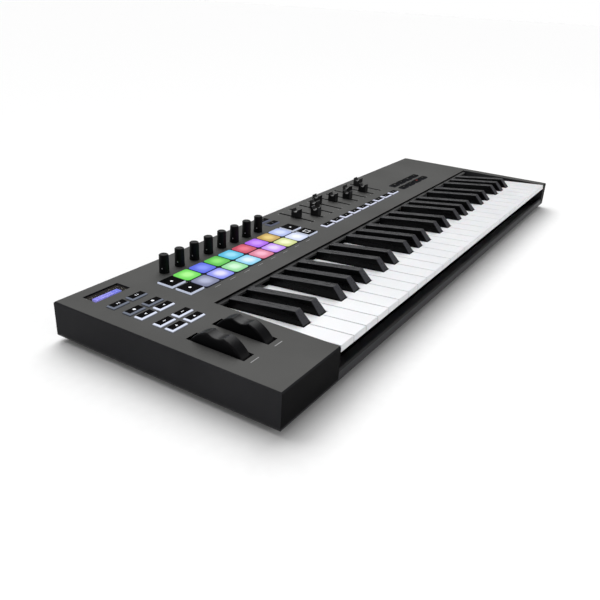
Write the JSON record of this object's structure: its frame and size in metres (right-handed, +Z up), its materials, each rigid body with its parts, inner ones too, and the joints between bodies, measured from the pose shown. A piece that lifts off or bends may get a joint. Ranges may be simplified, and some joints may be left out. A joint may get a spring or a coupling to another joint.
{
  "type": "midi keyboard",
  "caption": "Controller keyboard with piano keys on a flat dark case, lit drum pads, knobs, faders, lit buttons, two bend wheels and a small display.",
  "frame": {"origin": "on the surface that the feet stand on, under the middle of the case", "axes": "+X along the case towards the highest key, +Y from the player to the back, +Z up"},
  "size_m": [0.789, 0.258, 0.0613],
  "materials": {
    "case_plastic": "fine satin texture, dark grey",
    "base_plastic": "fine texture, near black",
    "frame_plastic": "moulded, black",
    "steel": "drawn rod",
    "circuit_board": "solder mask, green",
    "silicone": "moulded silicone, grey",
    "felt": "black felt",
    "display_glass": "dark gloss window",
    "display_lit": "lit screen, blue",
    "socket_metal": "pressed shell",
    "socket_plastic": "moulded, black",
    "rubber": "soft black rubber",
    "screw_steel": "blackened",
    "track_metal": "pressed, plain",
    "white_key": "satin white",
    "black_key": "satin black",
    "knob_plastic": "soft-touch black",
    "fader_plastic": "satin black",
    "wheel_rubber": "soft-touch black",
    "mat_silicone": "silicone sheet, dark",
    "pad_silicone": "translucent silicone, lit from below",
    "button_rubber": "translucent silicone with a black top, lit from below"
  },
  "bodies": {
    "root": {"top_case": "case_plastic", "bottom_case": "base_plastic", "key_frame": "frame_plastic", "key_pivot_rod": "steel", "key_contact_board": "circuit_board", "key_contact_domes": "silicone", "key_stop_felt": "felt", "dust_strip": "felt", "control_board": "circuit_board", "main_board": "circuit_board", "display_window": "display_glass", "display_module": "display_lit", "silicone_keymats": "mat_silicone", "usb_socket": "socket_metal", "midi_socket": "socket_plastic", "pedal_socket": "socket_plastic", "rubber_feet": "rubber", "case_screws": "screw_steel", "fader_tracks": "track_metal", "knob_encoders": "track_metal", "wheel_bracket": "frame_plastic", "wheel_axle": "steel"},
    "c_keys": {"c_keys": "white_key"},
    "d_keys": {"d_keys": "white_key"},
    "e_keys": {"e_keys": "white_key"},
    "f_keys": {"f_keys": "white_key"},
    "g_keys": {"g_keys": "white_key"},
    "a_keys": {"a_keys": "white_key"},
    "b_keys": {"b_keys": "white_key"},
    "top_c_key": {"top_c_key": "white_key"},
    "c_sharp_keys": {"c_sharp_keys": "black_key"},
    "d_sharp_keys": {"d_sharp_keys": "black_key"},
    "f_sharp_keys": {"f_sharp_keys": "black_key"},
    "g_sharp_keys": {"g_sharp_keys": "black_key"},
    "a_sharp_keys": {"a_sharp_keys": "black_key"},
    "drum_pads": {"drum_pads": "pad_silicone"},
    "launch_buttons": {"launch_buttons": "button_rubber"},
    "function_buttons": {"function_buttons": "button_rubber"},
    "fader_buttons": {"fader_buttons": "button_rubber"},
    "transport_buttons": {"transport_buttons": "button_rubber"},
    "device_buttons": {"device_buttons": "button_rubber"},
    "knob_1": {"knob_1": "knob_plastic"},
    "knob_2": {"knob_2": "knob_plastic"},
    "knob_3": {"knob_3": "knob_plastic"},
    "knob_4": {"knob_4": "knob_plastic"},
    "knob_5": {"knob_5": "knob_plastic"},
    "knob_6": {"knob_6": "knob_plastic"},
    "knob_7": {"knob_7": "knob_plastic"},
    "knob_8": {"knob_8": "knob_plastic"},
    "fader_cap_1": {"fader_cap_1": "fader_plastic"},
    "fader_cap_2": {"fader_cap_2": "fader_plastic"},
    "fader_cap_3": {"fader_cap_3": "fader_plastic"},
    "fader_cap_4": {"fader_cap_4": "fader_plastic"},
    "fader_cap_5": {"fader_cap_5": "fader_plastic"},
    "fader_cap_6": {"fader_cap_6": "fader_plastic"},
    "fader_cap_7": {"fader_cap_7": "fader_plastic"},
    "fader_cap_8": {"fader_cap_8": "fader_plastic"},
    "fader_cap_9": {"fader_cap_9": "fader_plastic"},
    "pitch_wheel": {"pitch_wheel": "wheel_rubber"},
    "mod_wheel": {"mod_wheel": "wheel_rubber"}
  },
  "joints": [
    {"name": "c_keys_press", "type": "hinge", "parent": "root", "child": "c_keys", "pos_m": [0, 0.054, 0.025], "axis": [1, 0, 0], "range_deg": [0, 3.1], "stiffness_Nm_per_rad": 6, "springref_deg": -4.58},
    {"name": "d_keys_press", "type": "hinge", "parent": "root", "child": "d_keys", "pos_m": [0, 0.054, 0.025], "axis": [1, 0, 0], "range_deg": [0, 3.1], "stiffness_Nm_per_rad": 6, "springref_deg": -4.58},
    {"name": "e_keys_press", "type": "hinge", "parent": "root", "child": "e_keys", "pos_m": [0, 0.054, 0.025], "axis": [1, 0, 0], "range_deg": [0, 3.1], "stiffness_Nm_per_rad": 6, "springref_deg": -4.58},
    {"name": "f_keys_press", "type": "hinge", "parent": "root", "child": "f_keys", "pos_m": [0, 0.054, 0.025], "axis": [1, 0, 0], "range_deg": [0, 3.1], "stiffness_Nm_per_rad": 6, "springref_deg": -4.58},
    {"name": "g_keys_press", "type": "hinge", "parent": "root", "child": "g_keys", "pos_m": [0, 0.054, 0.025], "axis": [1, 0, 0], "range_deg": [0, 3.1], "stiffness_Nm_per_rad": 6, "springref_deg": -4.58},
    {"name": "a_keys_press", "type": "hinge", "parent": "root", "child": "a_keys", "pos_m": [0, 0.054, 0.025], "axis": [1, 0, 0], "range_deg": [0, 3.1], "stiffness_Nm_per_rad": 6, "springref_deg": -4.58},
    {"name": "b_keys_press", "type": "hinge", "parent": "root", "child": "b_keys", "pos_m": [0, 0.054, 0.025], "axis": [1, 0, 0], "range_deg": [0, 3.1], "stiffness_Nm_per_rad": 6, "springref_deg": -4.58},
    {"name": "top_c_key_press", "type": "hinge", "parent": "root", "child": "top_c_key", "pos_m": [0, 0.054, 0.025], "axis": [1, 0, 0], "range_deg": [0, 3.1], "stiffness_Nm_per_rad": 1.5, "springref_deg": -4.58},
    {"name": "c_sharp_keys_press", "type": "hinge", "parent": "root", "child": "c_sharp_keys", "pos_m": [0, 0.054, 0.025], "axis": [1, 0, 0], "range_deg": [0, 3.1], "stiffness_Nm_per_rad": 6, "springref_deg": -4.58},
    {"name": "d_sharp_keys_press", "type": "hinge", "parent": "root", "child": "d_sharp_keys", "pos_m": [0, 0.054, 0.025], "axis": [1, 0, 0], "range_deg": [0, 3.1], "stiffness_Nm_per_rad": 6, "springref_deg": -4.58},
    {"name": "f_sharp_keys_press", "type": "hinge", "parent": "root", "child": "f_sharp_keys", "pos_m": [0, 0.054, 0.025], "axis": [1, 0, 0], "range_deg": [0, 3.1], "stiffness_Nm_per_rad": 6, "springref_deg": -4.58},
    {"name": "g_sharp_keys_press", "type": "hinge", "parent": "root", "child": "g_sharp_keys", "pos_m": [0, 0.054, 0.025], "axis": [1, 0, 0], "range_deg": [0, 3.1], "stiffness_Nm_per_rad": 6, "springref_deg": -4.58},
    {"name": "a_sharp_keys_press", "type": "hinge", "parent": "root", "child": "a_sharp_keys", "pos_m": [0, 0.054, 0.025], "axis": [1, 0, 0], "range_deg": [0, 3.1], "stiffness_Nm_per_rad": 6, "springref_deg": -4.58},
    {"name": "drum_pads_press", "type": "slide", "parent": "root", "child": "drum_pads", "axis": [0, 0, -1], "range_m": [0, 0.0006], "stiffness_N_per_m": 4800, "springref_m": -0.0006},
    {"name": "launch_buttons_press", "type": "slide", "parent": "root", "child": "launch_buttons", "axis": [0, 0, -1], "range_m": [0, 0.0006], "stiffness_N_per_m": 1200, "springref_m": -0.0006},
    {"name": "function_buttons_press", "type": "slide", "parent": "root", "child": "function_buttons", "axis": [0, 0, -1], "range_m": [0, 0.0006], "stiffness_N_per_m": 3000, "springref_m": -0.0006},
    {"name": "fader_buttons_press", "type": "slide", "parent": "root", "child": "fader_buttons", "axis": [0, 0, -1], "range_m": [0, 0.0006], "stiffness_N_per_m": 2700, "springref_m": -0.0006},
    {"name": "transport_buttons_press", "type": "slide", "parent": "root", "child": "transport_buttons", "axis": [0, 0, -1], "range_m": [0, 0.0006], "stiffness_N_per_m": 2400, "springref_m": -0.0006},
    {"name": "device_buttons_press", "type": "slide", "parent": "root", "child": "device_buttons", "axis": [0, 0, -1], "range_m": [0, 0.0006], "stiffness_N_per_m": 600, "springref_m": -0.0006},
    {"name": "knob_1_turn", "type": "hinge", "parent": "root", "child": "knob_1", "pos_m": [-0.2793, 0.0978, 0.051], "axis": [0, 0, 1], "range_deg": [-140, 140]},
    {"name": "knob_2_turn", "type": "hinge", "parent": "root", "child": "knob_2", "pos_m": [-0.2556, 0.0978, 0.051], "axis": [0, 0, 1], "range_deg": [-140, 140]},
    {"name": "knob_3_turn", "type": "hinge", "parent": "root", "child": "knob_3", "pos_m": [-0.2319, 0.0978, 0.051], "axis": [0, 0, 1], "range_deg": [-140, 140]},
    {"name": "knob_4_turn", "type": "hinge", "parent": "root", "child": "knob_4", "pos_m": [-0.2082, 0.0978, 0.051], "axis": [0, 0, 1], "range_deg": [-140, 140]},
    {"name": "knob_5_turn", "type": "hinge", "parent": "root", "child": "knob_5", "pos_m": [-0.1845, 0.0978, 0.051], "axis": [0, 0, 1], "range_deg": [-140, 140]},
    {"name": "knob_6_turn", "type": "hinge", "parent": "root", "child": "knob_6", "pos_m": [-0.1608, 0.0978, 0.051], "axis": [0, 0, 1], "range_deg": [-140, 140]},
    {"name": "knob_7_turn", "type": "hinge", "parent": "root", "child": "knob_7", "pos_m": [-0.1371, 0.0978, 0.051], "axis": [0, 0, 1], "range_deg": [-140, 140]},
    {"name": "knob_8_turn", "type": "hinge", "parent": "root", "child": "knob_8", "pos_m": [-0.1134, 0.0978, 0.051], "axis": [0, 0, 1], "range_deg": [-140, 140]},
    {"name": "fader_cap_1_slide", "type": "slide", "parent": "root", "child": "fader_cap_1", "axis": [0, 1, 0], "range_m": [-0.0205, 0.0205]},
    {"name": "fader_cap_2_slide", "type": "slide", "parent": "root", "child": "fader_cap_2", "axis": [0, 1, 0], "range_m": [-0.0055, 0.0355]},
    {"name": "fader_cap_3_slide", "type": "slide", "parent": "root", "child": "fader_cap_3", "axis": [0, 1, 0], "range_m": [-0.0225, 0.0185]},
    {"name": "fader_cap_4_slide", "type": "slide", "parent": "root", "child": "fader_cap_4", "axis": [0, 1, 0], "range_m": [-0.0335, 0.0075]},
    {"name": "fader_cap_5_slide", "type": "slide", "parent": "root", "child": "fader_cap_5", "axis": [0, 1, 0], "range_m": [-0.0215, 0.0195]},
    {"name": "fader_cap_6_slide", "type": "slide", "parent": "root", "child": "fader_cap_6", "axis": [0, 1, 0], "range_m": [-0.0115, 0.0295]},
    {"name": "fader_cap_7_slide", "type": "slide", "parent": "root", "child": "fader_cap_7", "axis": [0, 1, 0], "range_m": [-0.0251, 0.0159]},
    {"name": "fader_cap_8_slide", "type": "slide", "parent": "root", "child": "fader_cap_8", "axis": [0, 1, 0], "range_m": [-0.0115, 0.0295]},
    {"name": "fader_cap_9_slide", "type": "slide", "parent": "root", "child": "fader_cap_9", "axis": [0, 1, 0], "range_m": [-0.0335, 0.0075]},
    {"name": "pitch_wheel_turn", "type": "hinge", "parent": "root", "child": "pitch_wheel", "pos_m": [-0.3671, -0.047, 0.0213], "axis": [-1, 0, 0], "range_deg": [-28, 28], "stiffness_Nm_per_rad": 0.08},
    {"name": "mod_wheel_turn", "type": "hinge", "parent": "root", "child": "mod_wheel", "pos_m": [-0.3329, -0.047, 0.0213], "axis": [-1, 0, 0], "range_deg": [-28, 28]}
  ]
}
